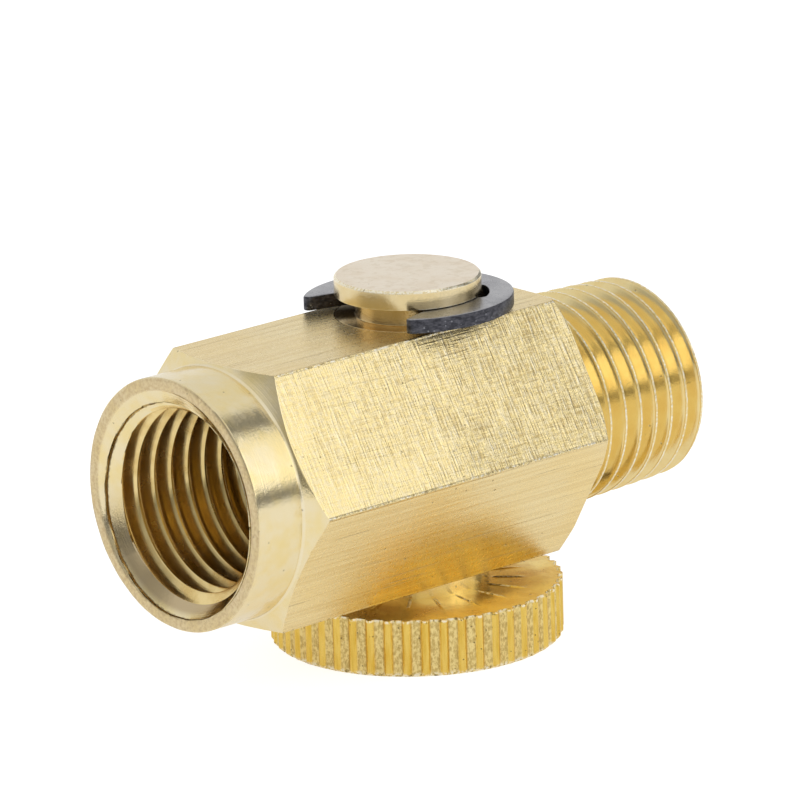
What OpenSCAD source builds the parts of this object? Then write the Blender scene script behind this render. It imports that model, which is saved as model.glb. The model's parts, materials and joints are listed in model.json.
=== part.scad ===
// In-line rotary regulating valve with a knurled control knob.
// The flow axis runs along X, from the female port at -X to the male port at +X.
// The spindle turns about Z. The origin is the centre of the knob's flat underside.

/* [Body] */
// Hexagon width across flats
hex_af = 16; // [15.8:0.1:16.4]
// Height of the flow axis above the knob's underside
flow_z = 12.5; // [12.5:0.1:14]
// Length from the spindle axis to the female end face
female_reach = 19.25; // [18.5:0.25:22]
// Length from the spindle axis to the male tip
male_reach = 18.75; // [17:0.25:22]
// Outer diameter of the turned collar at the female end
collar_d = 15.6; // [15:0.1:15.8]
// Length of the turned collar
collar_len = 3.5; // [2:0.1:4]
// Length of the male threaded stub
male_len = 10.5; // [9:0.1:10.5]
// Mean crest diameter of the male thread
male_d = 13.12; // [12.9:0.02:13.3]

/* [Ports] */
// Crest diameter of the female thread
female_d = 11.44; // [11.3:0.02:11.6]
// Depth of the female port from its end face
female_depth = 11.5; // [10:0.25:12]
// Diameter of the mouth's countersink at the end face
mouth_d = 14.1; // [13.5:0.1:14.5]
// Depth of the mouth's countersink
mouth_depth = 0.85; // [0.5:0.05:1.2]
// Diameter of the flow passage
flow_d = 6.4; // [6:0.1:6.6]

/* [Spindle] */
// Diameter of the plug
plug_d = 9; // [8.8:0.05:9.1]
// Radial running clearance between the plug and its bore
plug_clearance = 0.05; // [0.02:0.01:0.1]
// Diameter of the hole across the plug
cross_hole_d = 5; // [4:0.1:5.2]
// Height of the plug's head above the retaining clip's groove
head_h = 1.2; // [1:0.05:1.5]
// Diameter at the bottom of the retaining clip's groove
clip_groove_d = 6.5; // [6.2:0.05:6.6]
// Axial width of the retaining clip's groove
clip_groove_w = 1.3; // [1.2:0.05:1.4]
// Diameter of the plug's end inside the knob
spigot_d = 7; // [6.5:0.1:7.2]

/* [Knob] */
// Outer diameter over the knurl
knob_d = 18.1; // [17.5:0.1:18.4]
// Height of the knob
knob_h = 3.6; // [3:0.1:3.8]
// Number of straight knurl ridges
knurl_count = 49; // [44:1:52]
// Depth of the knurl grooves
knurl_depth = 0.3; // [0.2:0.05:0.35]

/* [Retaining clip] */
// Outer diameter of the clip
clip_d = 12.9; // [12.6:0.1:13]
// Thickness of the clip
clip_t = 0.9; // [0.8:0.05:1]
// Diameter of the clip's two inner recesses
clip_recess_d = 9.9; // [9.6:0.1:10]

/* [Seals] */
// Section diameter of each O-ring as squeezed in its groove
ring_section = 1.3; // [1.25:0.01:1.31]
// Distance of each O-ring from the flow axis
ring_offset = 5.6; // [5.5:0.1:5.8]

/* [Hidden] */
$fn = 96;

edge_break = 0.15;
hex_r = hex_af / sqrt(3);
hex_start = -female_reach + collar_len;
hex_end = male_reach - male_len;
body_top = flow_z + hex_af / 2;
body_bottom = flow_z - hex_af / 2;

// End chamfers of the hexagon, 30 degrees from the end planes
chamfer_slope = tan(30);
male_land_d = 16.9;

male_tip_chamfer = 0.8;
drill_point = (female_d - flow_d) / 2 * chamfer_slope;

bore_d = plug_d + 2 * plug_clearance;
groove_bottom = body_top;
groove_top = groove_bottom + clip_groove_w;
plug_top = groove_top + head_h;
head_chamfer = 0.2;

// O-ring grooves: the ring touches the groove's bottom and stays a hair inside the bore
ring_groove_d = bore_d - 2 * ring_section - 0.06;
ring_groove_w = 1.9;
ring_r = ring_groove_d / 2 + ring_section / 2 + 0.01;

clip_play = 0.05;
clip_bottom = groove_top - clip_play - clip_t;
clip_grip_d = clip_groove_d + 0.04;
clip_tooth_half_deg = 20;
clip_recess_end_deg = 62;
mouth_flare_deg = 17;
mouth_half_outer = 4.52;
mouth_corner_x = -sqrt(pow(clip_d / 2, 2) - pow(mouth_half_outer, 2));
through = 1;

// A profile drawn as [radius, position] and turned about the X axis
module turned_on_x() {
    translate([0, 0, flow_z]) rotate([0, 90, 0]) rotate_extrude() children();
}

module body_profile() {
    full_r = hex_r + 0.2;
    polygon([
        [0, -female_reach],
        [collar_d / 2 - edge_break, -female_reach],
        [collar_d / 2, -female_reach + edge_break],
        [collar_d / 2, hex_start],
        [full_r, hex_start + (full_r - collar_d / 2) * chamfer_slope],
        [full_r, hex_end - (full_r - male_land_d / 2) * chamfer_slope],
        [male_land_d / 2, hex_end],
        [male_d / 2, hex_end],
        [male_d / 2, male_reach - male_tip_chamfer],
        [male_d / 2 - male_tip_chamfer, male_reach],
        [0, male_reach]
    ]);
}

module port_profile() {
    bottom = -female_reach + female_depth;
    polygon([
        [0, -female_reach - through],
        [mouth_d / 2, -female_reach - through],
        [mouth_d / 2, -female_reach],
        [female_d / 2, -female_reach + mouth_depth],
        [female_d / 2, bottom],
        [flow_d / 2, bottom + drill_point],
        [flow_d / 2, male_reach - 2 * edge_break],
        [flow_d / 2 + 2 * edge_break, male_reach],
        [flow_d / 2 + 2 * edge_break, male_reach + through],
        [0, male_reach + through]
    ]);
}

module plug_bore() {
    translate([0, 0, body_bottom - through]) cylinder(d = bore_d, h = hex_af + 2 * through);
    translate([0, 0, body_top - edge_break])
        cylinder(d1 = bore_d, d2 = bore_d + 2 * edge_break, h = edge_break);
    translate([0, 0, body_bottom])
        cylinder(d1 = bore_d + 2 * edge_break, d2 = bore_d, h = edge_break);
}

module valve_body() {
    color("khaki")
    difference() {
        intersection() {
            translate([-female_reach, 0, flow_z]) rotate([0, 90, 0]) rotate([0, 0, 30])
                cylinder(r = hex_r, h = female_reach + male_reach, $fn = 6);
            turned_on_x() body_profile();
        }
        turned_on_x() port_profile();
        plug_bore();
    }
}

// One side of an O-ring groove, cut from the plug
module ring_groove(z) {
    translate([0, 0, z - ring_groove_w / 2]) difference() {
        cylinder(d = plug_d + through, h = ring_groove_w);
        translate([0, 0, -through]) cylinder(d = ring_groove_d, h = ring_groove_w + 2 * through);
    }
}

module rotary_plug() {
    color("darkkhaki")
    difference() {
        rotate_extrude() polygon([
            [0, 0],
            [spigot_d / 2 - edge_break, 0],
            [spigot_d / 2, edge_break],
            [spigot_d / 2, knob_h],
            [plug_d / 2, knob_h],
            [plug_d / 2, groove_bottom],
            [clip_groove_d / 2, groove_bottom],
            [clip_groove_d / 2, groove_top],
            [plug_d / 2, groove_top],
            [plug_d / 2, plug_top - head_chamfer],
            [plug_d / 2 - head_chamfer, plug_top],
            [0, plug_top]
        ]);
        ring_groove(flow_z - ring_offset);
        ring_groove(flow_z + ring_offset);
        translate([0, 0, flow_z]) rotate([0, 90, 0])
            cylinder(d = cross_hole_d, h = plug_d + 2 * through, center = true);
    }
}

module control_knob() {
    groove_side = knurl_depth * sqrt(2);
    color("goldenrod")
    difference() {
        rotate_extrude() polygon([
            [spigot_d / 2, 0],
            [knob_d / 2 - edge_break, 0],
            [knob_d / 2, edge_break],
            [knob_d / 2, knob_h],
            [spigot_d / 2, knob_h]
        ]);
        for (i = [0 : knurl_count - 1])
            rotate([0, 0, i * 360 / knurl_count]) translate([knob_d / 2, 0, -through])
                rotate([0, 0, 45]) translate([-groove_side / 2, -groove_side / 2, 0])
                    cube([groove_side, groove_side, knob_h + 2 * through]);
    }
}

// A wedge from the centre between two angles, longer than the clip is wide
module sector(from_deg, to_deg) {
    polygon([
        [0, 0],
        [clip_d * cos(from_deg), clip_d * sin(from_deg)],
        [clip_d * cos(to_deg), clip_d * sin(to_deg)]
    ]);
}

module retaining_clip() {
    reach = clip_d;
    flare = tan(mouth_flare_deg);
    inner_half = mouth_half_outer + mouth_corner_x * flare;
    outer_half = mouth_half_outer + (reach + mouth_corner_x) * flare;
    color("darkslategray")
    translate([0, 0, clip_bottom]) linear_extrude(clip_t) difference() {
        circle(d = clip_d);
        circle(d = clip_grip_d);
        polygon([[0, inner_half], [-reach, outer_half], [-reach, -outer_half], [0, -inner_half]]);
        for (side = [0, 1]) mirror([0, side, 0]) intersection() {
            circle(d = clip_recess_d);
            sector(clip_tooth_half_deg, clip_recess_end_deg);
        }
    }
}

module o_ring(z) {
    color("dimgray")
    translate([0, 0, z]) rotate_extrude() translate([ring_r, 0]) circle(d = ring_section, $fn = 48);
}

module upper_o_ring() {
    o_ring(flow_z + ring_offset);
}

module lower_o_ring() {
    o_ring(flow_z - ring_offset);
}

valve_body();
rotary_plug();
control_knob();
retaining_clip();
upper_o_ring();
lower_o_ring();
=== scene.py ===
import json
import math
import random

import bmesh
import bpy
import numpy as np
from mathutils import Matrix, Vector


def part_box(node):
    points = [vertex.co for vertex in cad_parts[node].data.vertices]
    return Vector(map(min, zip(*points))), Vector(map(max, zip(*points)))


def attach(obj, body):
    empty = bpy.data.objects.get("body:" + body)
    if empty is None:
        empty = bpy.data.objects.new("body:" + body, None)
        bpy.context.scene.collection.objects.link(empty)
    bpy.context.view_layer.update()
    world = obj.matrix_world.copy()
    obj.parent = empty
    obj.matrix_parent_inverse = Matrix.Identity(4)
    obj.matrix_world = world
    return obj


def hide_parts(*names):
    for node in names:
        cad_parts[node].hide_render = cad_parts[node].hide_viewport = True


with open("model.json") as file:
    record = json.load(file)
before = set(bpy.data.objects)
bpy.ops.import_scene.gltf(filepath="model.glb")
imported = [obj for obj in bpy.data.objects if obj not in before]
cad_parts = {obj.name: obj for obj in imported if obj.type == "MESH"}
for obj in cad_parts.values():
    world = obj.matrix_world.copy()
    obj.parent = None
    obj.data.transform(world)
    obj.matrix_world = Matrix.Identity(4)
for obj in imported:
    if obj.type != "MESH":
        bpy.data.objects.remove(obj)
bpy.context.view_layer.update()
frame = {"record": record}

# ---------------------------------------------------------------- sizes, in millimetres
MM = 0.001


def box_mm(node):
    """A CAD node's lowest and highest corners, in millimetres."""
    low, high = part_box(node)
    return np.array(low) / MM, np.array(high) / MM


def mount(name):
    """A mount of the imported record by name."""
    return next(m for m in frame["record"]["mounts"] if m["name"] == name)


body_low, body_high = box_mm("valve_body")
plug_high = box_mm("rotary_plug")[1]
knob_high = box_mm("control_knob")[1]
clip_low, clip_high = box_mm("retaining_clip")

FLOW_Z = (body_low[2] + body_high[2]) / 2
HEX_HALF = (body_high[2] - body_low[2]) / 2  # half the width across flats
FACE_X, TIP_X = body_low[0], body_high[0]  # female end face and male tip
PLUG_R = plug_high[1]
PLUG_TOP = plug_high[2]
BORE_R = PLUG_R + 0.05
KNOB_R, KNOB_H = knob_high[1], knob_high[2]
CLIP_R = clip_high[1]
CLIP_Z0, CLIP_Z1 = clip_low[2], clip_high[2]

COLLAR_R, COLLAR_LEN = 7.8, 3.5
MALE_LEN = 10.5
HEX_X0 = FACE_X + COLLAR_LEN
HEX_X1 = TIP_X - MALE_LEN
CHAMFER_SLOPE = math.tan(math.radians(30))  # end chamfers of the hexagon, from the end planes
MALE_LAND_R = 8.45  # the male end's flat land inside its chamfer
EDGE = 0.07  # half-width of a worn hexagon edge
HALF_SIDE = math.radians(30)  # half the angle that one side of the hexagon spans
HEX_CORNER_R = HEX_HALF / math.cos(HALF_SIDE)

PITCH = 25.4 / 19  # 19 threads to the inch
TAPER = 1 / 32  # radius lost along the male 1:16 taper
THREAD_DEPTH = 0.856
FEMALE_CREST_R = mount("female_thread")["dims"]["r_mm"]
MALE_MEAN_R = mount("male_thread")["dims"]["r_mm"]
MOUTH_R = 7.05  # inner edge of the rim face
MOUTH_DEPTH = 0.87  # where the countersink is down to the thread's crests
STEP_R, STEP_SHIFT = 6.60, 0.43  # the ledge inside the mouth, cut off centre
STEP_SLOPE = 0.57  # how far the mouth's face falls for each mm inwards
FLOW_R = 3.2
DRILL_R = 5.2  # the drilled end of the female bore
CROSS_HOLE_R = 2.5

# ---------------------------------------------------------------- mesh helpers
LARGE_FACE_WEIGHT = 60  # above the neutral 50, large faces count for more


def add_object(name, data):
    """A new object of the scene."""
    obj = bpy.data.objects.new(name, data)
    bpy.context.scene.collection.objects.link(obj)
    return obj


def piece_from(name, bm, body, node, materials, sharp_deg=32.0):
    """Turns a bmesh drawn in millimetres into a piece that replaces a CAD node."""
    bmesh.ops.scale(bm, vec=(MM, MM, MM), verts=bm.verts)
    mesh = bpy.data.meshes.new(name)
    bm.to_mesh(mesh)
    bm.free()
    mesh.polygons.foreach_set("use_smooth", [True] * len(mesh.polygons))
    mesh.set_sharp_from_angle(angle=math.radians(sharp_deg))
    for material in materials:
        mesh.materials.append(material)
    piece = add_object(name, mesh)
    even_shading(piece)
    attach(piece, body)
    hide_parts(node)
    return piece


def even_shading(piece):
    """Weights the normals by face area, so that large flats shade flat up to their edges."""
    modifier = piece.modifiers.new("weights", "WEIGHTED_NORMAL")
    modifier.keep_sharp = True
    modifier.weight = LARGE_FACE_WEIGHT
    evaluated = piece.evaluated_get(bpy.context.evaluated_depsgraph_get())
    before, piece_name = piece.data, piece.data.name
    shaded = bpy.data.meshes.new_from_object(evaluated)
    piece.modifiers.clear()
    piece.data = shaded
    bpy.data.meshes.remove(before)
    shaded.name = piece_name


def join_rings(bm, rings):
    """Quads between successive closed rings; every ring is an array of points of one length."""
    rows = [[bm.verts.new(p) for p in ring] for ring in rings]
    count = len(rows[0])
    for row, following in zip(rows, rows[1:]):
        for i in range(count):
            j = (i + 1) % count
            bm.faces.new((row[i], row[j], following[j], following[i]))
    return rows


def weld(bm, distance=1e-4):
    """Merges the rings that meet and drops what the merge flattened."""
    bmesh.ops.remove_doubles(bm, verts=bm.verts, dist=distance)
    bmesh.ops.dissolve_degenerate(bm, edges=bm.edges, dist=distance / 10)
    bmesh.ops.recalc_face_normals(bm, faces=bm.faces)


def turned(profile, columns=160):
    """A solid of revolution about Z from a list of (radius, z) that closes on itself or on the axis."""
    bm = bmesh.new()
    angles = np.arange(columns) * 2 * math.pi / columns
    rings = [
        np.stack([r * np.cos(angles), r * np.sin(angles), np.full(columns, z)], axis=1)
        for r, z in profile
    ]
    join_rings(bm, rings)
    weld(bm)
    return bm


def boolean(target, cutter, operation="DIFFERENCE"):
    """Applies one boolean of two bmeshes and gives the result as a new bmesh."""
    made = []
    for bm in (target, cutter):
        mesh = bpy.data.meshes.new("work")
        bm.to_mesh(mesh)
        bm.free()
        made.append(add_object("work", mesh))
    modifier = made[0].modifiers.new("cut", "BOOLEAN")
    modifier.operation = operation
    modifier.solver = "MANIFOLD"
    modifier.object = made[1]
    evaluated = made[0].evaluated_get(bpy.context.evaluated_depsgraph_get())
    result = bmesh.new()
    result.from_mesh(evaluated.to_mesh())
    evaluated.to_mesh_clear()
    for obj in made:
        mesh = obj.data
        bpy.data.objects.remove(obj)
        bpy.data.meshes.remove(mesh)
    return result


def fillet_points(corner, before, after, radius, steps=4):
    """Points of a round corner between two straight stretches, as (a, b) pairs."""
    corner, before, after = (np.array(p, float) for p in (corner, before, after))
    u = (before - corner) / np.linalg.norm(before - corner)
    v = (after - corner) / np.linalg.norm(after - corner)
    half = math.acos(max(-1.0, min(1.0, float(u @ v)))) / 2
    reach = radius / math.tan(half)
    centre = corner + (u + v) / np.linalg.norm(u + v) * radius / math.sin(half)
    start, end = corner + u * reach - centre, corner + v * reach - centre
    a0, a1 = math.atan2(start[1], start[0]), math.atan2(end[1], end[0])
    turn = (a1 - a0 + math.pi) % (2 * math.pi) - math.pi
    points = []
    for k in range(steps + 1):
        angle = a0 + turn * k / steps
        points.append(tuple(centre + radius * np.array([math.cos(angle), math.sin(angle)])))
    return points


def rounded(points, radii, steps=4):
    """An open outline whose inner corners are rounded; radii has one entry per point."""
    out = []
    for i, (point, radius) in enumerate(zip(points, radii)):
        if radius and 0 < i < len(points) - 1:
            out += fillet_points(point, points[i - 1], points[i + 1], radius, steps)
        else:
            out.append(tuple(point))
    return out


# ---------------------------------------------------------------- valve body


def hexagon_columns(per_side=32, corner_steps=4, bulge=0.09):
    """Column angles about the flow axis and the rounded hexagon's radius at each."""
    tangent = EDGE * math.tan(HALF_SIDE)
    half_corner = math.atan2(tangent * math.cos(HALF_SIDE), HEX_CORNER_R)
    flat_end = HALF_SIDE - half_corner
    angles, radii = [], []
    for side in range(6):
        middle = math.radians(90 + 60 * side)
        for k in range(per_side):
            a = -flat_end + 2 * flat_end * k / (per_side - 1)
            angles.append(middle + a)
            radii.append(HEX_HALF / math.cos(a))
        for k in range(1, corner_steps):
            a = flat_end + 2 * half_corner * k / corner_steps
            angles.append(middle + a)
            across = 1 - (2 * k / corner_steps - 1) ** 2
            radii.append(HEX_HALF / math.cos(flat_end) + EDGE * bulge * across)
    return np.array(angles), np.array(radii)


ANGLES, HEX_R = hexagon_columns()


def ring_at(x, r):
    """A ring about the flow axis; x and r are numbers or one value per column."""
    x = np.broadcast_to(np.asarray(x, float), ANGLES.shape)
    r = np.broadcast_to(np.asarray(r, float), ANGLES.shape)
    return np.stack([x, r * np.cos(ANGLES), FLOW_Z + r * np.sin(ANGLES)], axis=1)


# One pitch of a 55 degree pipe thread, as (share of the pitch, height from root to crest)
THREAD_FORM = [
    (-0.075, 0.95), (-0.045, 1.0), (0.0, 1.0), (0.045, 1.0), (0.075, 0.95),
    (0.145, 0.76), (0.225, 0.52), (0.305, 0.28), (0.38, 0.065), (0.43, 0.0),
    (0.5, 0.0), (0.57, 0.0), (0.62, 0.065), (0.695, 0.28), (0.775, 0.52), (0.855, 0.76),
]


def thread_height(phase):
    """Height of the thread form, from 0 at the root to 1 at the crest."""
    shares = np.array([s for s, _ in THREAD_FORM] + [1 + THREAD_FORM[0][0]])
    heights = np.array([h for _, h in THREAD_FORM] + [THREAD_FORM[0][1]])
    wrapped = (phase - shares[0]) % 1.0 + shares[0]
    return np.interp(wrapped, shares, heights)


def thread_ring(x, crest_x, radius_at):
    """A ring on a thread's surface; x is a number or one value per column."""
    x = np.broadcast_to(np.asarray(x, float), ANGLES.shape)
    phase = (x - crest_x) / PITCH - ANGLES / (2 * math.pi)
    return ring_at(x, radius_at(x, thread_height(phase)))


def thread_patch(bm, x_from, x_to, crest_x, radius_at):
    """A right-hand helical thread between two planes.

    Every row follows the helix, so crests and roots stay crisp. The last column joins the first one
    pitch further on, and rows beyond an end collapse onto its plane.
    """
    per_pitch = len(THREAD_FORM)
    turns_before = math.floor((x_from - crest_x) / PITCH) - 3
    turns_after = math.ceil((x_to - crest_x) / PITCH) + 2
    rows = []
    for turn in range(turns_before, turns_after):
        for share, _ in THREAD_FORM:
            x = crest_x + PITCH * (turn + share + ANGLES / (2 * math.pi))
            ring = thread_ring(np.clip(x, x_from, x_to), crest_x, radius_at)
            rows.append([bm.verts.new(p) for p in ring])
    for k, (row, following) in enumerate(zip(rows, rows[1:])):
        for i in range(len(ANGLES) - 1):
            bm.faces.new((row[i], row[i + 1], following[i + 1], following[i]))
        ahead = k + per_pitch
        if ahead + 1 < len(rows):
            bm.faces.new((row[-1], rows[ahead][0], rows[ahead + 1][0], following[-1]))
    loose = [v for v in bm.verts if not v.link_faces]
    bmesh.ops.delete(bm, geom=loose, context="VERTS")


def smooth_step(value):
    """Rises smoothly from 0 to 1 as value does."""
    value = np.clip(value, 0, 1)
    return value * value * (3 - 2 * value)


MALE_CREST_X = HEX_X1 + 1.60  # a crest of the male thread at angle zero
FEMALE_CREST_X = FACE_X + 2.12  # a crest of the female thread at angle zero
TIP_CHAMFER = 0.10
MALE_RUNOUT, MALE_RUNOUT_START = 0.9, 0.25  # its run-out's length, and how far inside the hexagon it starts
FEMALE_START_X = FACE_X + 0.74  # within the countersink, ahead of the first crest
FEMALE_END_X = FACE_X + 11.3  # where the female thread stops
FEMALE_RUNOUT = 1.6


def male_radius(x, height):
    """Radius of the male thread, with its run-out at the hexagon and its tip chamfer."""
    middle = (HEX_X1 + TIP_X) / 2
    crest = MALE_MEAN_R - (x - middle) * TAPER
    depth = THREAD_DEPTH * smooth_step((x - HEX_X1 + MALE_RUNOUT_START) / MALE_RUNOUT)
    cone = crest - TIP_CHAMFER - (x - TIP_X)
    return np.minimum(crest - depth * (1 - height), cone)


def ragged(amount, seed):
    """A small uneven offset for every column, like a burr left along an edge."""
    steps = np.random.default_rng(seed).normal(size=len(ANGLES))
    next_to = np.roll(steps, 1) + np.roll(steps, -1)
    beyond = np.roll(steps, 2) + np.roll(steps, -2)
    smoothed = steps + 0.7 * next_to + 0.3 * beyond
    return amount * np.clip(smoothed / 1.5, -1.5, 1.5)


# The ledge in the mouth: its edge's radius and place, and how far the wall drops behind it
LEDGE_R = STEP_R - STEP_SHIFT * np.sin(ANGLES) + ragged(0.012, 3)
LEDGE_X = FACE_X + 0.05 + (MOUTH_R - LEDGE_R) * STEP_SLOPE
LEDGE_DROP = 0.11 + 0.07 * np.cos(ANGLES - math.radians(15))


def mouth_wall(x):
    """Radius of the countersink between the ledge in the mouth and the female thread."""
    start_x, start_r = LEDGE_X + LEDGE_DROP, LEDGE_R - 0.04
    return start_r - (x - start_x) * (start_r - FEMALE_CREST_R) / (FACE_X + MOUTH_DEPTH - start_x)


def female_radius(x, height):
    """Radius of the female thread: the crest is its smallest radius."""
    depth = THREAD_DEPTH * (1 - smooth_step((x - FEMALE_END_X + FEMALE_RUNOUT) / FEMALE_RUNOUT))
    return np.maximum(FEMALE_CREST_R + depth * (1 - height), mouth_wall(x))


def build_body_mesh():
    """The one-piece body as one closed skin: outside from mouth to tip, then back through the bores."""
    bm = bmesh.new()
    cone_x0 = HEX_X0 + (HEX_R - COLLAR_R) * CHAMFER_SLOPE
    cone_x1 = HEX_X1 - np.maximum(HEX_R - MALE_LAND_R, 0) * CHAMFER_SLOPE
    land_r = np.minimum(HEX_R, MALE_LAND_R)
    worn = 0.05  # half-width of the worn edge of each end cone
    worn_r = HEX_R - worn / CHAMFER_SLOPE
    outside = [
        # the ledge in the mouth and its ragged lip
        ring_at(LEDGE_X + LEDGE_DROP, LEDGE_R - 0.04),
        ring_at(LEDGE_X + 0.01, LEDGE_R - 0.012),
        ring_at(LEDGE_X - 0.03 + ragged(0.015, 10), LEDGE_R + 0.008),
        ring_at(LEDGE_X - 0.02 + ragged(0.010, 11), LEDGE_R + 0.04),
        ring_at(LEDGE_X - 0.045, LEDGE_R + 0.075),
        # the rim face with its two uneven edges
        ring_at(FACE_X + 0.045, MOUTH_R),
        ring_at(FACE_X + 0.02 + ragged(0.008, 4), MOUTH_R + 0.06),
        ring_at(FACE_X + 0.008 + ragged(0.004, 5), MOUTH_R + 0.25),
        ring_at(FACE_X + 0.006 + ragged(0.004, 6), MOUTH_R + 0.45),
        ring_at(FACE_X + 0.03 + ragged(0.012, 7), COLLAR_R - 0.12 + ragged(0.012, 8)),
        ring_at(FACE_X + 0.08, COLLAR_R - 0.03 + ragged(0.010, 9)),
        # the collar and the fillet at its root
        ring_at(FACE_X + 0.16, COLLAR_R),
        ring_at(HEX_X0 - 0.15, COLLAR_R),
        ring_at(HEX_X0 - 0.07, COLLAR_R + 0.012),
        ring_at(HEX_X0 + 0.00, COLLAR_R + 0.045),
        ring_at(HEX_X0 + 0.06, COLLAR_R + 0.10),
        # the hexagon between its two end cones
        ring_at(np.maximum(cone_x0 - worn, HEX_X0 + 0.065), np.maximum(worn_r, COLLAR_R + 0.11)),
        ring_at(cone_x0 + ragged(0.010, 12), HEX_R - 0.012),
        ring_at(cone_x0 + worn, HEX_R),
        ring_at(-6.0, HEX_R),
        ring_at(0.0, HEX_R),
        ring_at(6.0, HEX_R),
        ring_at(cone_x1 - worn, HEX_R),
        ring_at(cone_x1, HEX_R - 0.015),
        ring_at(np.minimum(cone_x1 + worn * 0.6, HEX_X1), np.maximum(worn_r, land_r - 0.06)),
        # the end face around the male thread
        ring_at(HEX_X1, land_r - 0.10),
        ring_at(HEX_X1, MALE_MEAN_R + 0.45),
    ]
    join_rings(bm, outside)
    join_rings(bm, [outside[-1], thread_ring(HEX_X1, MALE_CREST_X, male_radius)])
    thread_patch(bm, HEX_X1, TIP_X, MALE_CREST_X, male_radius)
    drill_x = FEMALE_END_X + 0.5
    inside = [
        thread_ring(TIP_X, MALE_CREST_X, male_radius),
        ring_at(TIP_X, FLOW_R + 0.32),
        ring_at(TIP_X - 0.05, FLOW_R + 0.22),
        ring_at(TIP_X - 0.28, FLOW_R),
        ring_at(6.0, FLOW_R),
        ring_at(0.0, FLOW_R),
        ring_at(drill_x + 1.2, FLOW_R),
        ring_at(drill_x, DRILL_R),
        thread_ring(FEMALE_END_X, FEMALE_CREST_X, female_radius),
    ]
    join_rings(bm, inside)
    thread_patch(bm, FEMALE_START_X, FEMALE_END_X, FEMALE_CREST_X, female_radius)
    join_rings(bm, [thread_ring(FEMALE_START_X, FEMALE_CREST_X, female_radius), outside[0]])
    weld(bm)
    return bm


def bore_cutter():
    """The plug's bore through the body, its edges just broken at both flats."""
    top, bottom = FLOW_Z + HEX_HALF, FLOW_Z - HEX_HALF
    flare = 0.02
    return turned([
        (0, bottom - 1), (BORE_R + flare, bottom - 1), (BORE_R + flare, bottom),
        (BORE_R, bottom + flare), (BORE_R, top - flare), (BORE_R + flare, top),
        (BORE_R + flare, top + 1), (0, top + 1),
    ], columns=128)


# The body's finishes, in the order of its materials
DRAWN, MILLED, TURNED, MALE_THREAD, FEMALE_THREAD, BORE = range(6)


def body_finish(c, n):
    """The finish of a face of the body, from its centre and normal.

    The limits lie between the faces that they part, in millimetres.
    """
    across = math.hypot(c.y, c.z - FLOW_Z)
    outward = (n.y * c.y + n.z * (c.z - FLOW_Z)) / max(across, 1e-6)
    if abs(math.hypot(c.x, c.y) - BORE_R) < 0.2 and abs(n.z) < 0.9 and across < 9:
        return BORE
    if c.x > HEX_X1 - 1e-3 and across < MALE_MEAN_R + 0.3:
        return MALE_THREAD if outward > -0.2 and across > DRILL_R else BORE
    if across < MOUTH_R + 0.03 and (outward < 0 or across < DRILL_R + 0.3):
        if c.x < FACE_X + MOUTH_DEPTH and across > FEMALE_CREST_R + 0.03 and abs(n.x) > 0.3:
            return TURNED
        return FEMALE_THREAD if c.x < FEMALE_END_X else BORE
    if across > HEX_HALF * 0.97 and abs(n.x) < 0.2 and HEX_X0 < c.x < HEX_X1:
        tilt = math.degrees(math.atan2(n.z, abs(n.y)))
        return MILLED if 15 < tilt < 45 else DRAWN
    return TURNED


def make_body(materials):
    bm = boolean(build_body_mesh(), bore_cutter())
    for face in bm.faces:
        face.material_index = body_finish(face.calc_center_median(), face.normal)
    return piece_from("turned_body", bm, "housing", "valve_body", materials)


# ---------------------------------------------------------------- plug, knob, clip and seals
SPIGOT_R = 3.5
GROOVE_Z0 = FLOW_Z + HEX_HALF  # the clip groove starts level with the top flat
GROOVE_Z1 = CLIP_Z1 + 0.05
GROOVE_R = 3.25
HEAD_CHAMFER = 0.14
RING_OFFSET = 5.6
RING_GROOVE_HALF = 0.95
RING_FLOOR_R = BORE_R - 1.33


def ring_groove(middle):
    """Corners of the groove for one O-ring, each with its rounding."""
    low, high = middle - RING_GROOVE_HALF, middle + RING_GROOVE_HALF
    return [
        ((PLUG_R, low), 0.06), ((RING_FLOOR_R, low), 0.12),
        ((RING_FLOOR_R, high), 0.12), ((PLUG_R, high), 0.06),
    ]


def make_plug(materials):
    corners = [((0, 0), 0), ((SPIGOT_R, 0), 0.15), ((SPIGOT_R, KNOB_H), 0), ((PLUG_R, KNOB_H), 0)]
    corners += ring_groove(FLOW_Z - RING_OFFSET) + ring_groove(FLOW_Z + RING_OFFSET)
    corners += [
        ((PLUG_R, GROOVE_Z0), 0.02), ((GROOVE_R, GROOVE_Z0), 0.06),
        ((GROOVE_R, GROOVE_Z1), 0.05), ((PLUG_R, GROOVE_Z1), 0.04),
        ((PLUG_R, PLUG_TOP - HEAD_CHAMFER), 0.04), ((PLUG_R - HEAD_CHAMFER, PLUG_TOP), 0.04),
        ((0, PLUG_TOP), 0),
    ]
    bm = turned(rounded(*zip(*corners)), columns=192)
    reach = 6  # the cross hole's cutter stands out on both sides
    cutter = turned([(0, -reach), (CROSS_HOLE_R, -reach), (CROSS_HOLE_R, reach), (0, reach)], columns=96)
    for v in cutter.verts:
        v.co = Vector((v.co.z, v.co.y, FLOW_Z - v.co.x))
    bmesh.ops.recalc_face_normals(cutter, faces=cutter.faces)
    bm = boolean(bm, cutter)
    for face in bm.faces:
        c, n = face.calc_center_median(), face.normal
        across = math.hypot(c.x, c.y)
        if n.z > 0.9 and c.z > PLUG_TOP - 0.02:
            face.material_index = 1
        # the groove's faces take the neck's darker brass, painted shade under the head
        elif across < PLUG_R - 0.3 and GROOVE_Z0 - 0.1 < c.z < GROOVE_Z1 + 0.1:
            face.material_index = 2
    return piece_from("turned_plug", bm, "spindle", "rotary_plug", materials)


KNURL_COUNT = 49
KNURL_DEPTH = 0.27
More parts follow.
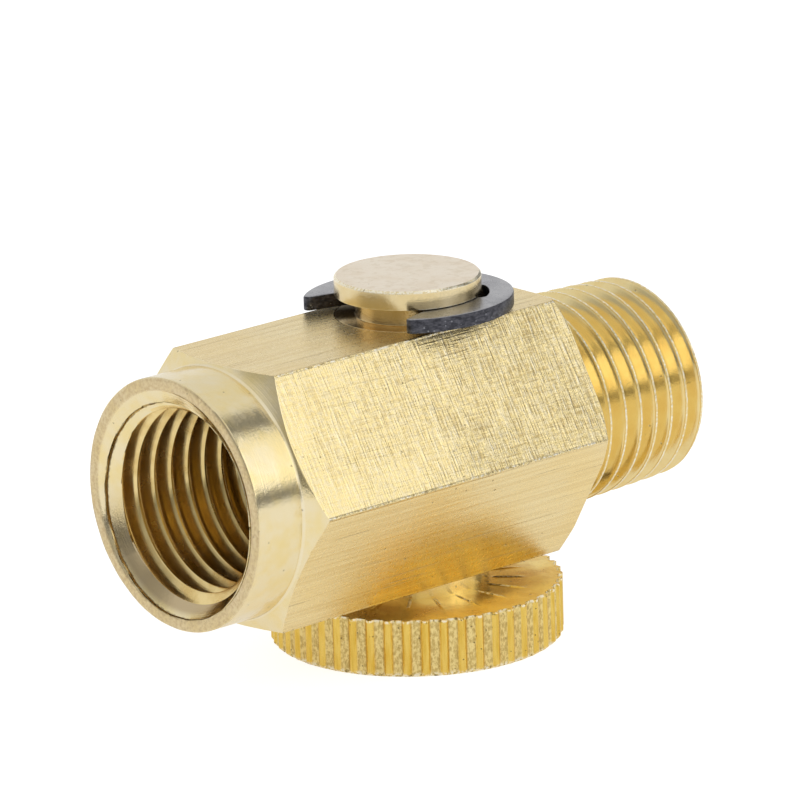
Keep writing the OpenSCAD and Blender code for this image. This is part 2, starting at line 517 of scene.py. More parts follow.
# Half of one knurl ridge, as (share of the pitch from the ridge's middle, height)
KNURL_FORM = [
    (0.0, 1.0), (0.05, 0.98), (0.10, 0.90), (0.15, 0.76), (0.20, 0.55), (0.24, 0.32), (0.275, 0.12),
    (0.31, 0.02), (0.42, 0.0),
]
KNURL_START = math.radians(-3.85)  # angle of the first ridge
KNOB_CHAMFER = 0.3
MARK_COUNT = 20  # fine raised marks around the shank
MARK_START = math.radians(-46.5)
MARK_HALF_WIDTH, MARK_HEIGHT = 0.11, 0.07
MARK_RINGS = (7.6, 7.3, 7.0, 6.7, 6.3, 5.8, 5.3, 5.0, 4.8, 4.7)
MARK_OUTER, MARK_SPREAD = 6.5, 0.9  # where the marks end, and how much that varies


def make_knob(materials):
    rng = random.Random(11)
    shares = [s for s, _ in KNURL_FORM] + [1 - s for s, _ in reversed(KNURL_FORM[1:])]
    heights = [h for _, h in KNURL_FORM] + [h for _, h in reversed(KNURL_FORM[1:])]
    angles, radii, burr = [], [], []
    for ridge in range(KNURL_COUNT):
        lift = rng.uniform(0.2, 1.0)
        for share, height in zip(shares, heights):
            angles.append((ridge + share) * 2 * math.pi / KNURL_COUNT + KNURL_START)
            radii.append(KNOB_R - 0.02 - KNURL_DEPTH * (1 - height))
            burr.append(lift * height * rng.uniform(0.4, 1.0))
    angles, radii, burr = np.array(angles), np.array(radii), np.array(burr)

    def ring(r, z):
        r = np.broadcast_to(np.asarray(r, float), angles.shape)
        z = np.broadcast_to(np.asarray(z, float), angles.shape)
        return np.stack([r * np.cos(angles), r * np.sin(angles), z], axis=1)

    base_r = KNOB_R - KNOB_CHAMFER - 0.06
    rings = [ring(SPIGOT_R, 0.12), ring(SPIGOT_R + 0.12, 0), ring(base_r - 0.15, 0), ring(base_r, 0)]
    for k in range(1, 8):
        z = KNOB_CHAMFER * k / 7
        cone = base_r + (z + 0.05) * (KNOB_CHAMFER + 0.06) / KNOB_CHAMFER
        rings.append(ring(np.minimum(radii, cone), z))
    rings += [
        ring(radii, KNOB_CHAMFER + 0.08),
        ring(radii, KNOB_H * 0.4),
        ring(radii, KNOB_H * 0.7),
        ring(radii, KNOB_H - 0.14),
        ring(radii + 0.012 * burr, KNOB_H - 0.07),
        ring(radii + 0.018 * burr, KNOB_H - 0.02 + 0.012 * burr),
        ring(radii - 0.03, KNOB_H + 0.02 * burr),
        ring(radii - 0.11, KNOB_H),
        ring(KNOB_R - KNURL_DEPTH - 0.30, KNOB_H),
    ]
    turn = (angles - MARK_START) * MARK_COUNT / (2 * math.pi)
    off_mark = np.abs(turn - np.round(turn)) * 2 * math.pi / MARK_COUNT
    lengths = np.array([rng.uniform(0.0, 1.0) for _ in range(MARK_COUNT)])
    lengths = lengths[np.round(turn).astype(int) % MARK_COUNT]
    for r in MARK_RINGS:
        across = np.clip(1 - off_mark * r / MARK_HALF_WIDTH, 0, 1)
        fade = smooth_step((MARK_OUTER + MARK_SPREAD * lengths - r) / 0.5) * smooth_step((r - 4.68) / 0.2)
        rings.append(ring(r, KNOB_H + MARK_HEIGHT * across * fade))
    rings += [ring(PLUG_R - 0.1, KNOB_H), ring(SPIGOT_R, KNOB_H), ring(SPIGOT_R, 0.12)]
    bm = bmesh.new()
    join_rings(bm, rings)
    weld(bm)
    for face in bm.faces:
        c, n = face.calc_center_median(), face.normal
        across = math.hypot(c.x, c.y)
        if abs(n.z) > 0.9 and across < KNOB_R - 0.35:
            face.material_index = 1
    return piece_from("knurled_knob", bm, "spindle", "control_knob", materials, sharp_deg=40)


def polar(radius, degrees):
    """The point at a radius and angle about the spindle axis."""
    return (radius * math.cos(math.radians(degrees)), radius * math.sin(math.radians(degrees)))


def arc_points(radius, from_deg, to_deg, step_deg=3.0):
    """Points along an arc about the spindle axis, ends included."""
    count = max(2, int(abs(to_deg - from_deg) / step_deg) + 1)
    return [polar(radius, a) for a in np.linspace(from_deg, to_deg, count)]


def clip_outline():
    """The E-clip's outline, counter-clockwise, with its mouth towards -X."""
    foot_deg, foot_end = 135.4, 128.4  # the foot's corner; the rim's arc stops short of it
    grip_r, recess_r = GROOVE_R + 0.02, 4.95
    # one half from the foot to the back, as (point, rounding)
    half = [(polar(CLIP_R, foot_end), 0), (polar(CLIP_R, foot_deg), 0.35), (polar(grip_r, 97.3), 0.3)]
    half += [(p, 0) for p in arc_points(grip_r, 92, 72)]
    half += [(polar(grip_r, 66), 0.22), (polar(recess_r, 61), 0.45)]
    half += [(p, 0) for p in arc_points(recess_r, 50, 32)]
    half += [(polar(recess_r, 20), 0.45), (polar(grip_r, 22), 0.25)]
    half += [(p, 0) for p in arc_points(grip_r, 14, 0)]
    inner = rounded(*zip(*half), steps=5)[1:]
    inner_down = [(x, -y) for x, y in reversed(inner)][1:]
    outer = arc_points(CLIP_R, -foot_end, foot_end)
    return np.array(outer + inner + inner_down)


def inset(outline, distance):
    """The outline moved inwards along its corner normals."""
    before, after = np.roll(outline, 1, axis=0), np.roll(outline, -1, axis=0)
    along = after - before
    along /= np.linalg.norm(along, axis=1)[:, None]
    normal = np.stack([-along[:, 1], along[:, 0]], axis=1)
    return outline + normal * distance


CLIP_TILT = -0.030  # the clip sits a little low towards +Y
CLIP_LEVEL_Y = -CLIP_R * 0.6  # where the tilt leaves its height unchanged


def make_clip(materials):
    outline = clip_outline()
    bm = bmesh.new()
    rings = []
    # the punched edge, as (inset, height), from its rolled lower corner to its worn upper one
    for distance, z in (
        (0.07, CLIP_Z0), (0.02, CLIP_Z0 + 0.02), (0.0, CLIP_Z0 + 0.07),
        (0.0, CLIP_Z1 - 0.10), (0.03, CLIP_Z1 - 0.03), (0.10, CLIP_Z1),
    ):
        flat = inset(outline, distance)
        rings.append(np.column_stack([flat, np.full(len(flat), z)]))
    rows = join_rings(bm, rings)
    lids = [bm.faces.new(rows[-1]), bm.faces.new(list(reversed(rows[0])))]
    bm.normal_update()
    bmesh.ops.triangulate(bm, faces=lids)
    weld(bm)
    for v in bm.verts:
        v.co.z += CLIP_TILT * (v.co.y - CLIP_LEVEL_Y)
    for face in bm.faces:
        # the edge and underside take the darker steel: painted shade that keeps the pit under the clip dark
        face.material_index = 0 if face.normal.z > 0.7 else 1
    return piece_from("e_clip", bm, "spindle", "retaining_clip", materials, sharp_deg=35)


def make_o_ring(name, node, height, materials):
    """An O-ring squeezed a little flat between its groove and the bore."""
    half_width, half_height = 0.65, 0.70
    columns, around = 96, 24
    centre_r = RING_FLOOR_R + half_width + 0.01
    section = []
    for k in range(around + 1):
        a = 2 * math.pi * (k % around) / around
        section.append((centre_r + half_width * math.cos(a), height + half_height * math.sin(a)))
    bm = turned(section, columns)
    return piece_from(name, bm, "spindle", node, materials)


# ---------------------------------------------------------------- shader nodes


class Graph:
    """Short names for the shader nodes used below; an input is a number or another node's output."""

    def __init__(self, tree):
        self.tree = tree

    def put(self, socket, value):
        if isinstance(value, bpy.types.NodeSocket):
            self.tree.links.new(value, socket)
        else:
            socket.default_value = value

    def out(self, kind, output, **inputs):
        node = self.tree.nodes.new(kind)
        for name, value in inputs.items():
            self.put(node.inputs[name], value)
        return node.outputs[output]

    def math(self, operation, a, b=0.0):
        node = self.tree.nodes.new("ShaderNodeMath")
        node.operation = operation
        self.put(node.inputs[0], a)
        self.put(node.inputs[1], b)
        return node.outputs[0]

    def times(self, value, factor):
        return self.math("MULTIPLY", value, factor)

    def total(self, *terms):
        """The sum of (value, weight) pairs."""
        total = self.times(*terms[0])
        for value, weight in terms[1:]:
            total = self.math("ADD", total, self.times(value, weight))
        return total

    def radius(self, a, b):
        return self.math("SQRT", self.math("ADD", self.times(a, a), self.times(b, b)))

    def flow_radius(self, y, z):
        """The distance from the flow axis."""
        return self.radius(y, self.math("SUBTRACT", z, FLOW_Z))

    def millimetres(self):
        """The piece's own coordinates in millimetres: x, y, z and all three as one vector."""
        node = self.tree.nodes.new("ShaderNodeVectorMath")
        node.operation = "SCALE"
        self.put(node.inputs[0], self.out("ShaderNodeTexCoord", "Object"))
        node.inputs["Scale"].default_value = 1 / MM
        return *self.split(node.outputs[0]), node.outputs[0]

    def hexagon_edge(self, y, z):
        """1 on the long edges of the hexagon, 0 away from them."""
        return self.between(self.flow_radius(y, z), HEX_CORNER_R - 0.09, HEX_CORNER_R - 0.03)

    def specks(self, vector, scale, size, share):
        """Small round spots, kept only where a noise is above the share."""
        spots = self.out("ShaderNodeTexVoronoi", "Distance", Vector=vector, Scale=scale)
        spots = self.between(spots, size, size * 0.4)
        kept = self.noise(vector, scale * 0.37, 1.0)
        kept = self.math("GREATER_THAN", kept, share)
        return self.math("MULTIPLY", spots, kept)

    def split(self, vector):
        node = self.tree.nodes.new("ShaderNodeSeparateXYZ")
        self.put(node.inputs[0], vector)
        return node.outputs

    def join(self, x, y, z):
        node = self.tree.nodes.new("ShaderNodeCombineXYZ")
        for socket, value in zip(node.inputs, (x, y, z)):
            self.put(socket, value)
        return node.outputs[0]

    def streaks(self, *ways, detail, roughness=0.5):
        """A noise drawn out along some ways: three (value, marks per millimetre) pairs."""
        return self.noise(self.join(*[self.times(*way) for way in ways]), 1.0, detail, roughness)

    def between(self, value, low, high, at_low=0.0, at_high=1.0):
        """Goes smoothly from at_low to at_high as the value goes from low to high."""
        node = self.tree.nodes.new("ShaderNodeMapRange")
        node.interpolation_type = "SMOOTHSTEP"
        for name, number in (("Value", value), ("From Min", low), ("From Max", high),
                             ("To Min", at_low), ("To Max", at_high)):
            self.put(node.inputs[name], number)
        return node.outputs[0]

    def profile(self, value, points):
        """A height that runs through the given (value, height) points."""
        total = points[0][1]
        for (v0, h0), (v1, h1) in zip(points, points[1:]):
            if h1 != h0:
                total = self.math("ADD", total, self.between(value, v0, v1, 0.0, h1 - h0))
        return total

    def blend(self, share, first, second):
        """The first number where share is 0, the second where it is 1."""
        node = self.tree.nodes.new("ShaderNodeMix")
        node.data_type = "FLOAT"
        self.put(node.inputs[0], share)
        self.put(node.inputs[2], first)
        self.put(node.inputs[3], second)
        return node.outputs[0]

    def tint(self, share, first, second):
        """The first colour where share is 0, the second where it is 1."""
        node = self.tree.nodes.new("ShaderNodeMix")
        node.data_type = "RGBA"
        self.put(node.inputs[0], share)
        self.put(node.inputs[6], (*first, 1) if isinstance(first, tuple) else first)
        self.put(node.inputs[7], (*second, 1) if isinstance(second, tuple) else second)
        return node.outputs[2]

    def noise(self, vector, scale, detail=2.0, roughness=0.5, distortion=0.0):
        return self.out("ShaderNodeTexNoise", "Fac", Vector=vector, Scale=scale, Detail=detail,
                        Roughness=roughness, Distortion=distortion)


# ---------------------------------------------------------------- materials
PALE, GOLD = (0.89, 0.765, 0.49), (0.89, 0.725, 0.36)  # clouds of the turned faces
LINE_SHADE = (0.74, 0.55, 0.24)  # painted shade in the bottoms of the drawn lines
DULL = (0.34, 0.27, 0.16)  # dirt and tarnish in pits and scratches
SOOT = (0.16, 0.12, 0.07)  # the knob's darker specks
GLINT = (0.97, 0.90, 0.72)  # painted glints along the male thread's crests and the knob's rims
HEAD_HIGHLIGHT = (0.98, 0.92, 0.74)  # painted highlight along the corners of the plug's head


def surface(name, metallic=1):
    """A new material: the material, its graph and its shader."""
    material = bpy.data.materials.new(name)
    material.use_nodes = True
    shader = material.node_tree.nodes["Principled BSDF"]
    shader.inputs["Metallic"].default_value = metallic
    return material, Graph(material.node_tree), shader


def finish(g, shader, color, roughness, height, depth_um):
    """Connects a material's colour, roughness and the relief of its surface."""
    g.put(shader.inputs["Base Color"], color)
    g.put(shader.inputs["Roughness"], roughness)
    normal = g.out("ShaderNodeBump", "Normal", Height=height, Distance=depth_um * 1e-6, Strength=1.0)
    g.put(shader.inputs["Normal"], normal)


def drawn_brass():
    """Bar stock as drawn: fine lines along the bar with painted shade in their bottoms, a few deeper
    scratches and pits.
    """
    material, g, shader = surface("drawn_brass")
    x, y, z, here = g.millimetres()
    lines = g.streaks((x, 0.06), (y, 5.0), (z, 5.0), detail=4.0, roughness=0.7)
    hair = g.streaks((x, 0.30), (y, 15.0), (z, 15.0), detail=2.0)
    grain = g.noise(here, 5.0, 3.0, 0.6)
    cloud = g.noise(here, 0.22, 2.0)
    scratch = g.between(g.streaks((x, 0.12), (y, 7.0), (z, 7.0), detail=1.0), 0.68, 0.78)
    pits = g.specks(here, 1.1, 0.11, 0.56)
    flaws = g.math("MAXIMUM", g.times(scratch, 0.6), pits)
    color = g.tint(g.between(cloud, 0.3, 0.7), (0.91, 0.75, 0.41), (0.91, 0.72, 0.35))
    # painted shade: darker where the drawn lines run low
    color = g.tint(g.times(g.between(lines, 0.62, 0.35), 0.5), color, LINE_SHADE)
    color = g.tint(g.times(flaws, 0.7), color, DULL)
    height = g.total((lines, 0.5), (hair, 0.25), (grain, 0.3), (flaws, -0.6))
    edge = g.hexagon_edge(y, z)
    height = g.math("ADD", height, g.times(grain, edge))
    color = g.tint(g.times(edge, g.between(grain, 0.47, 0.38, 0.0, 0.6)), color, DULL)
    roughness = g.math("ADD", g.between(grain, 0.3, 0.7, 0.24, 0.36), g.times(flaws, 0.2))
    finish(g, shader, color, roughness, height, 36)
    return material


def milled_brass():
    """The two upper flats beside the plug: chatter marks across the bar under lengthwise scratches, with
    painted shade in their lows, painted highlights on their highs and along the hexagon's edge.
    """
    material, g, shader = surface("milled_brass")
    x, y, z, here = g.millimetres()
    chatter = g.streaks((x, 6.6), (y, 0.45), (z, 0.45), detail=2.0, roughness=0.55)
    comb = g.streaks((x, 9.0), (y, 1.2), (z, 1.2), detail=1.0)
    lines = g.streaks((x, 0.50), (y, 8.5), (z, 8.5), detail=3.0, roughness=0.6)
    crumbs = g.noise(here, 4.2, 2.0, 0.6)
    patch = g.noise(here, 0.16, 2.0)
    rough_part = g.math("ADD", g.between(x, -14.0, 3.0, 0.36, 1.0), g.between(patch, 0.35, 0.65, -0.1, 0.2))
    pits = g.specks(here, 1.4, 0.10, 0.55)
    color = g.tint(g.between(crumbs, 0.35, 0.7), (0.91, 0.74, 0.36), (0.92, 0.79, 0.48))
    # painted shade where the chatter and lines run low
    low = g.between(g.total((chatter, 0.5), (lines, 0.5)), 0.50, 0.40)
    color = g.tint(g.times(g.times(low, rough_part), 0.65), color, (0.60, 0.44, 0.18))
    # painted highlight where the chatter and comb run high
    high = g.between(g.total((chatter, 0.5), (comb, 0.5)), 0.56, 0.66)
    color = g.tint(g.times(g.times(high, rough_part), 0.8), color, (0.98, 0.89, 0.66))
    color = g.tint(g.times(pits, 0.6), color, DULL)
    height = g.total((chatter, 0.9), (comb, 0.35), (lines, 0.7), (crumbs, 0.2), (pits, -0.3))
    edge = g.hexagon_edge(y, z)
    height = g.math("ADD", g.times(height, rough_part), g.times(crumbs, edge))
    # painted highlights: pale glints along the hexagon's edge
    color = g.tint(g.times(edge, g.between(crumbs, 0.52, 0.60)), color, (0.98, 0.92, 0.76))
    color = g.tint(g.times(edge, g.between(crumbs, 0.46, 0.38, 0.0, 0.7)), color, DULL)
    roughness = g.between(crumbs, 0.3, 0.7, 0.20, 0.32)
    finish(g, shader, color, roughness, height, 66)
    return material


def turned_brass():
    """Lathe-turned faces of the body: fine rings about the flow axis, a pitted rim, a painted highlight on
    the collar's root fillet, a dark line along the ledge in the mouth and painted shade low in the
    countersink.
    """
    material, g, shader = surface("turned_brass")
    x, y, z, here = g.millimetres()
    r = g.flow_radius(y, z)
    rings = g.streaks((x, 16.0), (r, 16.0), (y, 0.2), detail=3.0, roughness=0.6)
    bands = g.streaks((x, 3.0), (r, 3.0), (z, 0.1), detail=2.0)
    grain = g.noise(here, 4.0, 4.0, 0.65)
    smudge = g.noise(here, 0.5, 3.0, 0.6)
    rim = g.between(x, FACE_X + 0.12, FACE_X + 0.02)
    # painted highlight along the fillet at the collar's root
    root = g.between(x, HEX_X0 - 0.13, HEX_X0 - 0.05)
    root = g.times(root, g.between(x, HEX_X0 + 0.09, HEX_X0 + 0.02))
    pits = g.specks(here, 1.3, 0.12, g.blend(rim, 0.57, 0.46))
    color = g.tint(g.between(smudge, 0.35, 0.7), PALE, GOLD)
    color = g.tint(g.times(rim, g.between(grain, 0.62, 0.36, 0.45, 1.0)), color, (0.64, 0.49, 0.27))
    color = g.tint(g.times(pits, 0.6), color, DULL)
    color = g.tint(g.times(root, 0.22), color, (0.99, 0.96, 0.86))
    low_z = g.math("ADD", g.math("SUBTRACT", z, FLOW_Z), STEP_SHIFT)
    off_ledge = g.math("ABSOLUTE", g.math("SUBTRACT", g.radius(y, low_z), STEP_R - 0.01))
    off_ledge = g.math("ADD", off_ledge, g.between(grain, 0.3, 0.7, -0.03, 0.05))
    shallow = g.between(x, FACE_X + 1.0, FACE_X + 0.9)
    ledge = g.times(g.between(off_ledge, 0.09, 0.03), shallow)
    ledge = g.times(ledge, g.between(y, -3.0, 3.0, 0.2, 0.75))
    # painted shade: the countersink darker towards its bottom
    inside = g.times(g.between(r, MOUTH_R - 0.1, MOUTH_R - 0.5), shallow)
    shade = g.times(inside, g.between(z, FLOW_Z + 1.0, FLOW_Z - 5.0, 0.0, 0.85))
    color = g.tint(shade, color, (0.54, 0.42, 0.25))
    color = g.tint(ledge, color, (0.26, 0.20, 0.10))
    uneven = g.blend(rim, 0.35, 1.6)
    height = g.total((rings, 0.35), (bands, 0.2), (g.times(grain, uneven), 1.0), (pits, -0.5))
    roughness = g.math("ADD", g.between(smudge, 0.3, 0.7, 0.10, 0.18), g.times(rim, 0.2))
    finish(g, shader, color, roughness, height, 22)
    return material


def thread_brass():
    """The male thread: bright gold, tool rings along the groove, ragged painted highlights along the crest.
    """
    material, g, shader = surface("male_thread_brass")
    x, y, z, here = g.millimetres()
    r = g.flow_radius(y, z)
    crest_r = g.math("SUBTRACT", MALE_MEAN_R + TAPER * (HEX_X1 + TIP_X) / 2, g.times(x, TAPER))
    crest = g.between(g.math("SUBTRACT", r, crest_r), -0.07, -0.01)
    rings = g.streaks((x, 9.0), (r, 9.0), (y, 0.3), detail=3.0, roughness=0.65)
    burr = g.noise(here, 5.5, 3.0, 0.7)
    smudge = g.noise(here, 0.7, 3.0, 0.6)
    pits = g.specks(here, 1.2, 0.12, 0.54)
    color = g.tint(g.between(smudge, 0.35, 0.7), (0.90, 0.74, 0.38), (0.88, 0.69, 0.32))
    # painted highlights: pale glints scattered along the crest
    color = g.tint(g.times(crest, g.between(burr, 0.45, 0.6)), color, GLINT)
    color = g.tint(g.times(pits, 0.6), color, DULL)
    height = g.total((rings, 0.3), (g.times(burr, crest), 3.0), (burr, 0.25), (pits, -0.5))
    roughness = g.between(smudge, 0.3, 0.7, 0.12, 0.20)
    finish(g, shader, color, roughness, height, 16)
    return material


def inner_brass(name, rings_on_thread):
    """Brass inside the bores, duller than outside, with painted shade browning it further into the body."""
    material, g, shader = surface(name)
    x, y, z, here = g.millimetres()
    r = g.flow_radius(y, z)
    rings = g.streaks((x, 8.0), (r, 8.0), (y, 0.3), detail=3.0, roughness=0.6)
    smudge = g.noise(here, 0.8, 3.0, 0.6)
    # painted shade: browner further into the bore
    depth = g.between(x, FACE_X, FACE_X + 9.0)
    color = g.tint(g.between(smudge, 0.35, 0.7), (0.90, 0.71, 0.34), (0.82, 0.60, 0.24))
    color = g.tint(g.times(depth, 0.4), color, (0.56, 0.40, 0.13))
    roughness = g.between(smudge, 0.3, 0.7, 0.17, 0.28)
    finish(g, shader, color, roughness, g.total((rings, rings_on_thread), (smudge, 0.5)), 12)
    return material


def plug_brass(name, matte=False, tones=((0.84, 0.70, 0.42), (0.80, 0.64, 0.34)), smoothest=0.17):
    """Turned faces of the plug, with painted highlights along its head's corners; the top is matte and
    mottled.
    """
    material, g, shader = surface(name)
    x, y, z, here = g.millimetres()
    r = g.radius(x, y)
    rings = g.streaks((z, 14.0), (r, 14.0), (x, 0.2), detail=3.0, roughness=0.6)
    grain = g.noise(here, 7.0, 3.0, 0.6)
    smudge = g.noise(here, 0.45, 3.0, 0.6)
    pits = g.specks(here, 1.1, 0.10, 0.52)
    if matte:
        mottle = g.noise(here, 1.6, 4.0, 0.7)
        color = g.tint(g.between(smudge, 0.35, 0.7), (0.95, 0.86, 0.72), (0.91, 0.80, 0.64))
        color = g.tint(g.between(mottle, 0.52, 0.36, 0.0, 0.45), color, (0.78, 0.66, 0.48))
        roughness = g.between(grain, 0.3, 0.7, 0.38, 0.50)
    else:
        color = g.tint(g.between(smudge, 0.35, 0.7), *tones)
        # painted highlight on the head's chamfer and on its lower corner
        corner = g.between(z, PLUG_TOP - 0.20, PLUG_TOP - 0.12)
        color = g.tint(g.times(corner, g.between(grain, 0.40, 0.52, 0.2, 0.9)), color, HEAD_HIGHLIGHT)
        foot = g.between(z, GROOVE_Z1 + 0.10, GROOVE_Z1 + 0.02)
        foot = g.times(foot, g.between(z, GROOVE_Z1 - 0.03, GROOVE_Z1 - 0.01))
        color = g.tint(g.times(foot, g.between(grain, 0.42, 0.52, 0.1, 0.9)), color, HEAD_HIGHLIGHT)
        roughness = g.between(grain, 0.3, 0.7, smoothest, smoothest + 0.08)
    color = g.tint(g.times(pits, 0.7), color, DULL)
    finish(g, shader, color, roughness, g.total((rings, 0.3), (grain, 0.5), (pits, -0.8)), 12)
    return material


def knurl_brass():
    """The knob's edge: golden ridges, pale rough valleys with dark specks, painted glints and dark specks
    along both rims.
    """
    material, g, shader = surface("knurl_brass")
    x, y, z, here = g.millimetres()
    r = g.radius(x, y)
    valley = g.between(r, KNOB_R - 0.15, KNOB_R - 0.24)
    grain = g.noise(g.join(x, y, g.times(z, 0.6)), 6.0, 3.0, 0.7)
    streaks = g.streaks((x, 5.0), (y, 5.0), (z, 0.5), detail=3.0, roughness=0.6)
    pits = g.specks(here, 2.8, 0.16, g.blend(valley, 0.53, 0.49))
    ridge_color = g.tint(g.between(streaks, 0.35, 0.7), (0.87, 0.62, 0.15), (0.77, 0.50, 0.08))
    valley_color = g.tint(g.between(grain, 0.38, 0.60), (0.60, 0.45, 0.17), (0.96, 0.80, 0.38))
    color = g.tint(g.times(valley, 0.85), ridge_color, valley_color)
    burr = g.noise(here, 4.5, 2.0, 0.6)
    # painted highlights: pale glints, with dark specks, along the top rim and the bottom chamfer
    rim = g.math("ADD", g.between(z, KNOB_H - 0.22, KNOB_H - 0.08), g.between(z, KNOB_CHAMFER + 0.05, 0.1))
    color = g.tint(g.times(rim, g.between(burr, 0.45, 0.55, 0.0, 0.9)), color, GLINT)
    color = g.tint(g.times(rim, g.between(burr, 0.42, 0.34, 0.0, 0.9)), color, (0.24, 0.17, 0.08))
    color = g.tint(g.times(pits, 0.8), color, SOOT)
    roughness = g.math("ADD", g.between(valley, 0, 1, 0.24, 0.45), g.times(pits, 0.2))
    height = g.total((grain, g.blend(valley, 0.35, 1.2)), (streaks, 1.3), (pits, -1.0))
    finish(g, shader, color, roughness, height, 28)
    return material


def knob_face_brass():
    """The knob's flat faces: fine rings about its axis, browner in patches, with dark specks."""
    material, g, shader = surface("knob_face_brass")
    x, y, z, here = g.millimetres()
    r = g.radius(x, y)
    rings = g.streaks((z, 6.0), (r, 12.0), (x, 0.2), detail=3.0, roughness=0.6)
    grain = g.noise(here, 5.0, 3.0, 0.65)
    stain = g.noise(here, 0.6, 3.0, 0.6)
    pits = g.specks(here, 1.6, 0.13, 0.52)
    color = g.tint(g.between(stain, 0.4, 0.65), (0.95, 0.74, 0.23), (0.86, 0.60, 0.14))
    color = g.tint(g.times(pits, 0.8), color, SOOT)
    roughness = g.between(stain, 0.3, 0.7, 0.16, 0.28)
    finish(g, shader, color, roughness, g.total((rings, 0.4), (grain, 0.5), (pits, -1.0)), 12)
    return material


def clip_steel(name, face):
    """Blackened spring steel: satin on its upper face; a darker copy with grey specks on its edge and
    underside, as painted shade.
    """
    material, g, shader = surface(name)
    x, y, z, here = g.millimetres()
    grain = g.noise(here, 9.0, 3.0, 0.7)
    smudge = g.noise(here, 0.9, 3.0, 0.6)
    sparks = g.specks(here, 3.4, 0.22, 0.50)
    if face:
        color = g.tint(g.between(smudge, 0.3, 0.7), (0.44, 0.44, 0.455), (0.34, 0.34, 0.36))
        color = g.tint(g.times(g.between(grain, 0.55, 0.35), 0.4), color, (0.12, 0.12, 0.14))
        roughness = g.between(grain, 0.3, 0.7, 0.26, 0.36)
        depth = 6
    else:
        shear = g.streaks((x, 2.2), (y, 2.2), (z, 5.0), detail=3.0, roughness=0.7)
        color = g.tint(g.between(shear, 0.35, 0.7), (0.045, 0.046, 0.055), (0.13, 0.13, 0.15))
        color = g.tint(g.times(sparks, 0.6), color, (0.45, 0.46, 0.50))
        roughness = g.between(grain, 0.3, 0.7, 0.30, 0.50)
        depth = 25
    finish(g, shader, color, roughness, g.total((grain, 0.7), (smudge, 0.3)), depth)
    return material


def seal_rubber():
    """Matte black rubber."""
    material, g, shader = surface("seal_rubber", metallic=0)
    *_, here = g.millimetres()
    grain = g.noise(here, 9.0, 3.0, 0.6)
    dust = g.noise(here, 1.5, 3.0, 0.6)
    color = g.tint(g.between(dust, 0.35, 0.75), (0.012, 0.012, 0.013), (0.035, 0.034, 0.032))
    finish(g, shader, color, g.between(grain, 0.3, 0.7, 0.48, 0.62), grain, 8)
    return material


thread = inner_brass("female_thread_brass", 0.4)
bore = inner_brass("bore_brass", 0.8)
make_body([drawn_brass(), milled_brass(), turned_brass(), thread_brass(), thread, bore])
plug_side = plug_brass("plug_side_brass")
# the neck's darker brass is painted shade under the plug's head
shaded_plug_neck = plug_brass("plug_neck_painted_shade_brass", tones=((0.72, 0.56, 0.30), (0.64, 0.47, 0.21)), smoothest=0.12)
make_plug([plug_side, plug_brass("plug_top_brass", matte=True), shaded_plug_neck])
make_knob([knurl_brass(), knob_face_brass()])
make_clip([clip_steel("clip_face_steel", True), clip_steel("clip_edge_painted_shade_steel", False)])
rubber = seal_rubber()
make_o_ring("upper_seal", "upper_o_ring", FLOW_Z + RING_OFFSET, [rubber])
make_o_ring("lower_seal", "lower_o_ring", FLOW_Z - RING_OFFSET, [rubber])

# ---------------------------------------------------------------- camera
CAMERA_AZIMUTH, CAMERA_ELEVATION, CAMERA_ROLL = -41.81, 16.36, -1.62
CAMERA_DISTANCE = 0.4671
FOCAL_RATIO = 9.5456  # focal length over the sensor's width
AIM_RIGHT, AIM_UP = -0.000732, 0.002334  # where the view's centre lies from the axes' crossing


def make_camera():
    """The camera looks at a point beside the crossing of the flow and spindle axes."""
    a, e = math.radians(CAMERA_AZIMUTH), math.radians(CAMERA_ELEVATION)
    roll = math.radians(CAMERA_ROLL)
    back = Vector((math.sin(a) * math.cos(e), -math.cos(a) * math.cos(e), math.sin(e)))
    level = Vector((math.cos(a), math.sin(a), 0))
    upright = back.cross(level)
    right = math.cos(roll) * level + math.sin(roll) * upright
    up = -math.sin(roll) * level + math.cos(roll) * upright
    crossing = Vector((0, 0, FLOW_Z * MM))
    location = crossing + back * CAMERA_DISTANCE
    aim = crossing + right * AIM_RIGHT + up * AIM_UP
    backward = (location - aim).normalized()
    side = up.cross(backward).normalized()
    upward = backward.cross(side)
    data = bpy.data.cameras.new("camera")
    data.lens = FOCAL_RATIO * data.sensor_width
    data.clip_start, data.clip_end = 0.01, 20
    camera = add_object("camera", data)
    camera.matrix_world = Matrix((
        (side.x, upward.x, backward.x, location.x),
        (side.y, upward.y, backward.y, location.y),
        (side.z, upward.z, backward.z, location.z),
        (0, 0, 0, 1),
    ))
    bpy.context.scene.camera = camera


make_camera()

# ---------------------------------------------------------------- floor and light
FLOOR_HALF, FLOOR_COLOR = 4, 0.50
FLOOR_GLOW, FLOOR_GLOW_SEEN = 0.55, 0.80  # the floor glows as a lit table does, more when looked at
# Brightness of the studio against elevation, in degrees, for each of its sides
SOFTBOX_SIDE = [
    (0, 0.20), (6, 0.20), (14, 1.06), (46, 1.06), (50, 0.30), (54, 0.30), (58, 0.80), (90, 0.80),
]
FLAG_SIDE = [(0, 0.20), (52, 0.20), (58, 0.80), (90, 0.80)]
GAP_SIDE = [(0, 0.26), (17, 0.26), (25, 0.78), (90, 0.80)]
DARK_SIDE = [(0, 0.18), (6, 0.18), (14, 0.42), (28, 0.42), (48, 0.80), (90, 0.80)]
OTHER_SIDES = [(0, 0.86), (18, 0.86), (26, 0.78), (90, 0.80)]
# Where each side's middle lies, from +X towards +Y, and the angles from it between which the side fades
SOFTBOX_FACING, FLAG_FACING = (-64, 37, 43), (-14, 9, 14)
GAP_FACING, DARK_FACING = (4, 26, 36), (184, 30, 50)
SOFTBOX_PEAK, SOFTBOX_FADE = 1.40, 17  # brighter in its middle than towards its sides


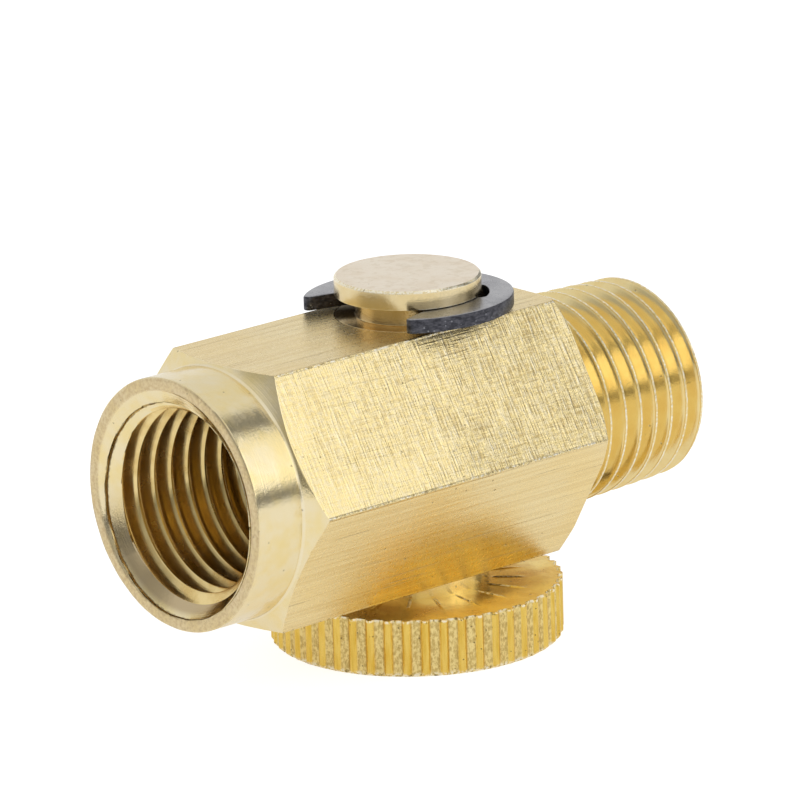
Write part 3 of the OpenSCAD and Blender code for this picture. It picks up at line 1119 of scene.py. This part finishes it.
def make_floor():
    mesh = bpy.data.meshes.new("floor")
    corners = [(-1, -1), (1, -1), (1, 1), (-1, 1)]
    mesh.from_pydata([(FLOOR_HALF * x, FLOOR_HALF * y, 0) for x, y in corners], [], [(0, 1, 2, 3)])
    material, g, shader = surface("pale_floor", metallic=0)
    shader.inputs["Base Color"].default_value = (FLOOR_COLOR, FLOOR_COLOR, FLOOR_COLOR, 1)
    shader.inputs["Roughness"].default_value = 1
    shader.inputs["Specular IOR Level"].default_value = 0
    shader.inputs["Emission Color"].default_value = (1, 1, 1, 1)
    seen = g.out("ShaderNodeLightPath", "Is Camera Ray")
    g.put(shader.inputs["Emission Strength"], g.blend(seen, FLOOR_GLOW, FLOOR_GLOW_SEEN))
    mesh.materials.append(material)
    add_object("floor", mesh)


def make_world():
    """A studio dome: a softbox, a dark flag and a gap beside it, a dark end, pale walls and roof."""
    world = bpy.data.worlds.new("studio")
    world.use_nodes = True
    g = Graph(world.node_tree)
    x, y, z = g.split(g.out("ShaderNodeTexCoord", "Generated"))
    elevation = g.times(g.math("ARCSINE", z), 180 / math.pi)
    level = g.radius(x, y)

    def facing(azimuth, full, gone):
        """1 within the first angle of a side's middle, 0 beyond the second."""
        side = math.radians(azimuth)
        along = g.total((x, math.cos(side)), (y, math.sin(side)))
        along = g.math("DIVIDE", along, g.math("MAXIMUM", level, 0.01))
        return g.between(along, math.cos(math.radians(gone)), math.cos(math.radians(full)))

    softbox = g.profile(elevation, SOFTBOX_SIDE)
    peak = g.times(facing(SOFTBOX_FACING[0], 0, SOFTBOX_FADE), SOFTBOX_PEAK - 1)
    softbox = g.times(softbox, g.math("ADD", peak, 1.0))
    bright = g.profile(elevation, OTHER_SIDES)
    bright = g.blend(facing(*DARK_FACING), bright, g.profile(elevation, DARK_SIDE))
    bright = g.blend(facing(*GAP_FACING), bright, g.profile(elevation, GAP_SIDE))
    bright = g.blend(facing(*FLAG_FACING), bright, g.profile(elevation, FLAG_SIDE))
    bright = g.blend(facing(*SOFTBOX_FACING), bright, softbox)
    seen = g.out("ShaderNodeLightPath", "Is Camera Ray")
    background = world.node_tree.nodes["Background"]
    g.put(background.inputs["Color"], g.blend(seen, bright, 1.0))
    background.inputs["Strength"].default_value = 1
    bpy.context.scene.world = world


make_floor()
make_world()
bpy.context.scene.view_settings.view_transform = "Standard"
